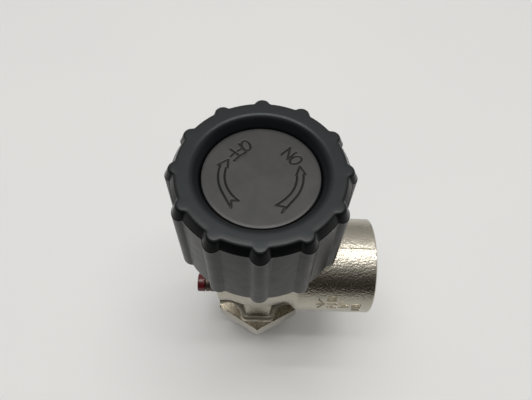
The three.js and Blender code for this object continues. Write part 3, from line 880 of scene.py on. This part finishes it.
def turning_marks(tree, axis):
    """Fine rings left by a lathe about X or Z, from 0 to 1: they follow one another along it and outwards."""
    x, y, z = axis_parts(tree)
    offset = OUTLET_Z * MM if axis == "X" else 0.0
    along, first, second = (x, y, math_node(tree, "SUBTRACT", z, offset)) if axis == "X" else (z, x, y)
    across = math_node(tree, "SQRT", math_node(tree, "ADD", math_node(tree, "MULTIPLY", first, first),
                                               math_node(tree, "MULTIPLY", second, second)))
    travel = math_node(tree, "ADD", along, across)
    pitch = 0.00022
    combined = add(tree, "ShaderNodeCombineXYZ", X=travel)
    scaled = add(tree, "ShaderNodeVectorMath", {"operation": "SCALE"}, Scale=1.0 / pitch,
                 Vector=combined.outputs[0])
    node = add(tree, "ShaderNodeTexNoise", Vector=scaled.outputs[0], Scale=1.0, Detail=3.0,
               Roughness=0.7, Distortion=0.4)
    return node.outputs["Fac"]


NICKEL = (0.50, 0.47, 0.395)
SEAM_Y = -1.5                               # where the dies met


def forged_nickel(name, smoothest, roughest):
    """Plated forging: a fine hammered skin, faint clouding and the trimmed line where the dies met."""
    material, tree, shader = new_material(name)
    peel = noise(tree, 1600.0)
    grain = noise(tree, 4200.0)
    cloud = noise(tree, 160.0, 3.0, 0.6)
    pits = remap(tree, noise(tree, 900.0, 1.0, 0.4), 0.66, 0.74, 0.0, 1.0)
    wander = remap(tree, noise(tree, 260.0, 3.0), 0.0, 1.0, -0.00012, 0.00012)
    y = math_node(tree, "ADD", axis_parts(tree)[1], wander)
    from_seam = math_node(tree, "ABSOLUTE", math_node(tree, "SUBTRACT", y, SEAM_Y * MM))
    seam = remap(tree, from_seam, 0.00006, 0.00022, 1.0, 0.0)
    shade = clouded(tree, cloud, NICKEL, tuple(c * 0.93 for c in NICKEL))
    shade = mixed(tree, math_node(tree, "MULTIPLY", pits, 0.25), shade, (0.30, 0.26, 0.20))
    shade = mixed(tree, math_node(tree, "MULTIPLY", seam, 0.55), shade, (0.22, 0.19, 0.14))
    rough = remap(tree, cloud, 0.25, 0.75, smoothest, roughest)
    fill(tree, shader, {"Base Color": shade, "Metallic": 1.0, "Roughness": rough,
                        "Normal": bumps(tree, (peel, 0.00016), (grain, 0.000010), (seam, 0.00006))})
    return material


def machined_nickel(axis):
    """Plated cut faces, bright, with the lathe's fine marks about X or Z."""
    material, tree, shader = new_material(f"machined nickel {axis}")
    marks = turning_marks(tree, axis)
    shade = clouded(tree, noise(tree, 240.0), NICKEL, tuple(c * 0.95 for c in NICKEL))
    rough = remap(tree, marks, 0.2, 0.8, 0.11, 0.19)
    normal = bumps(tree, (marks, 0.0000025), (noise(tree, 2600.0), 0.0000035))
    fill(tree, shader, {"Base Color": shade, "Metallic": 1.0, "Roughness": rough, "Normal": normal})
    return material


def blasted_and_shaded_nickel():
    """The hexagon's upper face and the raised marks: plated over a dull, fine-grained skin, and darker, which
    on the hexagon's top is painted shade.
    """
    material, tree, shader = new_material("blasted nickel, painted shade")
    # Painted shade: this darker colour stands in for the shade on the hexagon's top under the body and
    # handwheel; the raised marks share it.
    shade = clouded(tree, noise(tree, 320.0, 3.0, 0.6), (0.36, 0.32, 0.25), (0.27, 0.235, 0.18))
    rough = remap(tree, noise(tree, 900.0), 0.3, 0.7, 0.22, 0.3)
    fill(tree, shader, {"Base Color": shade, "Metallic": 1.0, "Roughness": rough,
                        "Normal": bumps(tree, (noise(tree, 2400.0), 0.000016))})
    return material


def turned_metal(name, colour, roughness):
    """Bare turned metal about Z, with fine marks and faint clouding."""
    material, tree, shader = new_material(name)
    marks = turning_marks(tree, "Z")
    shade = clouded(tree, noise(tree, 300.0, 3.0), colour, tuple(c * 0.86 for c in colour))
    rough = remap(tree, marks, 0.2, 0.8, roughness - 0.05, roughness + 0.06)
    fill(tree, shader, {"Base Color": shade, "Metallic": 1.0, "Roughness": rough,
                        "Normal": bumps(tree, (marks, 0.000004))})
    return material


def moulded_plastic(name, colour, second, roughness, grain, depth, flow=0.0, index=1.5, tint=(1.0, 1.0, 1.0)):
    """Moulded plastic: two close tones, a fine grain and, where flow isn't 0, faint level lines."""
    material, tree, shader = new_material(name)
    shade = clouded(tree, noise(tree, 120.0, 3.0, 0.6), colour, second)
    layers = [(noise(tree, grain, 2.0, 0.6), depth)]
    if flow:
        layers.append((noise(tree, 90.0, 3.0, 0.6, (0.35, 0.35, 6.0), 0.6), flow))
    rough = remap(tree, noise(tree, 420.0, 3.0), 0.3, 0.7, roughness - 0.035, roughness + 0.035)
    fill(tree, shader, {"Base Color": shade, "Roughness": rough, "IOR": index, "Specular Tint": (*tint, 1.0),
                        "Normal": bumps(tree, *layers)})
    return material


def painted_shade_band():
    """The band round the knob's top edge: smoother than the ring it fades into, with painted shade making it
    blacker.
    """
    material, tree, shader = new_material("black nylon band, painted shade")
    up = remap(tree, axis_parts(tree)[2], 2.5 * MM, 3.1 * MM, 0.0, 1.0)
    # Painted shade: the band's colour is darker low down, standing in for the dark room it reflects there.
    shade = mixed(tree, up, (0.0040, 0.0045, 0.0050), (0.0066, 0.0084, 0.0102))
    fill(tree, shader, {"Base Color": shade, "Roughness": remap(tree, up, 0.0, 1.0, 0.2, 0.35),
                        "IOR": remap(tree, up, 0.0, 1.0, 1.24, 1.46),
                        "Normal": bumps(tree, (noise(tree, 3800.0, 2.0, 0.6), 0.000005))})
    return material


# ------------------------------------------------------------------ pieces

COOL = (0.90, 0.96, 1.0)                    # tint of the highlights on the handwheel's top

forged = forged_nickel("forged nickel", 0.21, 0.27)
foot = forged_nickel("forged nickel foot", 0.36, 0.44)
machined_z = machined_nickel("Z")
machined_x = machined_nickel("X")
brass = turned_metal("turned brass", (0.72, 0.52, 0.24), 0.26)
# Painted shade: the drain plug's brass is coloured very dark for the shade under the handwheel and beside the
# body.
shaded_brass = turned_metal("brass, painted shade", (0.13, 0.10, 0.085), 0.42)
steel = turned_metal("turned stainless steel", (0.58, 0.57, 0.55), 0.24)
black = moulded_plastic("black nylon", (0.0062, 0.0080, 0.0100), (0.0082, 0.0098, 0.0114), 0.35,
                        3800.0, 0.000006, 0.0, 1.46, COOL)
black_skirt = moulded_plastic("black nylon skirt", (0.0040, 0.0046, 0.0056), (0.0110, 0.0114, 0.0134), 0.35,
                              3800.0, 0.000006, 0.000016, 1.35)
cap_plastic = moulded_plastic("grey cap plastic", (0.0290, 0.0298, 0.0302), (0.0500, 0.0468, 0.0436), 0.38,
                              3000.0, 0.000004)
# Painted shade: the engraved lines get a much darker plastic, standing in for the shade inside the grooves.
groove_shade_plastic = moulded_plastic("groove plastic, painted shade", (0.006, 0.006, 0.006), (0.009, 0.009, 0.008), 0.5,
                                 3000.0, 0.000004)
red = moulded_plastic("red plastic", (0.135, 0.010, 0.014), (0.11, 0.008, 0.011), 0.12, 2400.0, 0.000002)
rubber = moulded_plastic("black rubber", (0.012, 0.012, 0.012), (0.018, 0.018, 0.017), 0.55, 2600.0, 0.00001)
white = moulded_plastic("white sealing plastic", (0.74, 0.73, 0.69), (0.68, 0.67, 0.63), 0.42,
                        1800.0, 0.000004)

piece(make_handwheel(), "handwheel_fine", "handwheel", "handwheel",
      [black, painted_shade_band(), black_skirt])
piece(make_cap(), "handwheel_cap_fine", "handwheel", "handwheel_cap",
      [cap_plastic, groove_shade_plastic])
piece(make_body(), "valve_body_fine", "body", "valve_body",
      [forged, machined_z, machined_x, blasted_and_shaded_nickel(), foot])
piece(make_bonnet(), "bonnet_fine", "body", "bonnet", [brass])
piece(make_drain_plug(), "drain_plug_fine", "body", "drain_plug", [shaded_brass])
piece(make_drain_cap(), "drain_plug_cap_fine", "body", "drain_plug_cap", [red])
piece(make_neck_ring(), "neck_o_ring_fine", "body", "neck_o_ring", [rubber])

FINISHES = {
    brass: ["handwheel_insert", "stem", "lower_spindle", "disc_holder"],
    steel: ["handwheel_spring", "handwheel_washer", "handwheel_nut", "disc_clip", "seat_retainer",
            "seat_screw"],
    rubber: ["bonnet_o_ring", "drain_plug_seal", "upper_stem_o_ring", "lower_stem_o_ring"],
    white: ["stem_bush", "upper_thrust_washer", "lower_thrust_washer", "seat_washer"],
}
for material, names in FINISHES.items():
    for name in names:
        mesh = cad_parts[name].data
        mesh.materials.clear()
        mesh.materials.append(material)


# ------------------------------------------------------------------ table, light and camera

def make_table():
    """A pale table under the valve's neck, ending in front of it, with a painted shadow darkening it there,
    and barely uneven.
    """
    half, front, back, z = 1500.0, -300.0, 1500.0, INLET_END
    steps = 12
    row = steps + 1
    vertices = [(x, y, z) for y in np.linspace(front, back, row) for x in np.linspace(-half, half, row)]
    faces = [[j * row + i, j * row + i + 1, (j + 1) * row + i + 1, (j + 1) * row + i]
             for j in range(steps) for i in range(steps)]
    table = mesh_object("table", vertices, faces)
    material, tree, shader = new_material("white table")
    shade = clouded(tree, noise(tree, 7.0), (0.83, 0.835, 0.83), (0.81, 0.815, 0.815))
    # Painted shadow: the table's colour darkens towards its front, standing in for shade falling there from
    # the camera's side.
    painted_shadow_front = remap(tree, axis_parts(tree)[1], -160.0 * MM, -38.0 * MM, 1.0, 0.0)
    shade = mixed(tree, painted_shadow_front, shade, (0.58, 0.58, 0.575))
    fill(tree, shader, {"Base Color": shade, "Roughness": 0.55,
                        "Normal": bumps(tree, (noise(tree, 900.0), 0.00002))})
    table.data.materials.append(material)


def ramp(tree, factor, stops):
    """A colour ramp from (position, brightness, warmth) stops."""
    node = add(tree, "ShaderNodeValToRGB", Fac=factor)
    elements = node.color_ramp.elements
    while len(elements) > 1:
        elements.remove(elements[-1])
    for i, (position, level, warmth) in enumerate(stops):
        element = elements[0] if i == 0 else elements.new(position)
        element.position = position
        element.color = (level * (1 + warmth), level, level * (1 - 1.4 * warmth), 1.0)
    return node.outputs["Color"]


def make_world():
    """A softly lit room: bright overhead, grey behind the table, and dark towards the camera's side."""
    world = bpy.data.worlds.new("room")
    bpy.context.scene.world = world
    world.use_nodes = True
    tree = world.node_tree
    tree.nodes.clear()
    direction = add(tree, "ShaderNodeTexCoord").outputs["Generated"]
    x, y, z = add(tree, "ShaderNodeSeparateXYZ", Vector=direction).outputs
    front = ramp(tree, z, [(0.0, 0.03, 0.12), (0.45, 0.03, 0.12), (0.66, 0.10, 0.06), (0.78, 0.24, 0.03),
                           (0.875, 0.50, 0.01), (0.945, 0.85, 0.0), (1.0, 1.05, 0.0)])
    back = ramp(tree, z, [(0.0, 0.36, 0.02), (0.25, 0.40, 0.02), (0.6, 0.52, 0.02), (0.82, 0.80, 0.01),
                          (0.95, 0.98, 0.0), (1.0, 1.05, 0.0)])
    facing = remap(tree, y, -0.30, 0.25, 0.0, 1.0)
    room = mixed(tree, facing, front, back)
    seen = add(tree, "ShaderNodeLightPath").outputs["Is Camera Ray"]
    colour = mixed(tree, seen, room, (0.74, 0.75, 0.74))
    background = add(tree, "ShaderNodeBackground", Color=colour, Strength=1.0)
    output = tree.nodes.new("ShaderNodeOutputWorld")
    tree.links.new(background.outputs[0], output.inputs[0])


def make_lamps():
    """Two long thin tubes overhead, side by side, running from left to right."""
    for name, behind, height, power in (("rear tube", 11.0, 1.3, 4.1), ("front tube", -5.0, 1.25, 4.1)):
        data = bpy.data.lights.new(name, "AREA")
        data.shape = "RECTANGLE"
        data.size = 1.2
        data.size_y = 0.06
        data.energy = power
        data.color = (1.0, 0.985, 0.955)
        lamp = bpy.data.objects.new(name, data)
        angle = math.radians(behind)
        spot = Vector((0.0, height * math.sin(angle), height * math.cos(angle)))
        lamp.matrix_world = Matrix.Translation(spot) @ (-spot).to_track_quat("-Z", "Y").to_matrix().to_4x4()
        bpy.context.scene.collection.objects.link(lamp)


def make_camera():
    """The camera in front of the valve and above it, looking steeply down."""
    place_mm = Vector((1.4895, -68.055, 99.11))
    down, roll, swing = math.radians(58.55), math.radians(2.42), math.radians(-0.6)
    forward = Vector((0, math.cos(down), -math.sin(down)))
    level_right, level_up = Vector((1, 0, 0)), Vector((0, math.sin(down), math.cos(down)))
    right = math.cos(roll) * level_right + math.sin(roll) * level_up
    up = -math.sin(roll) * level_right + math.cos(roll) * level_up
    turn = Matrix.Rotation(swing, 3, "Z")
    axes = Matrix((turn @ right, turn @ up, turn @ -forward)).transposed()
    data = bpy.data.cameras.new("camera")
    data.lens = 31.33
    data.sensor_width = 36.0
    data.clip_start = 0.005
    camera = bpy.data.objects.new("camera", data)
    camera.matrix_world = Matrix.Translation(turn @ place_mm * MM) @ axes.to_4x4()
    bpy.context.scene.collection.objects.link(camera)
    bpy.context.scene.camera = camera


make_table()
make_world()
make_lamps()
make_camera()
bpy.context.scene.view_settings.view_transform = "Standard"
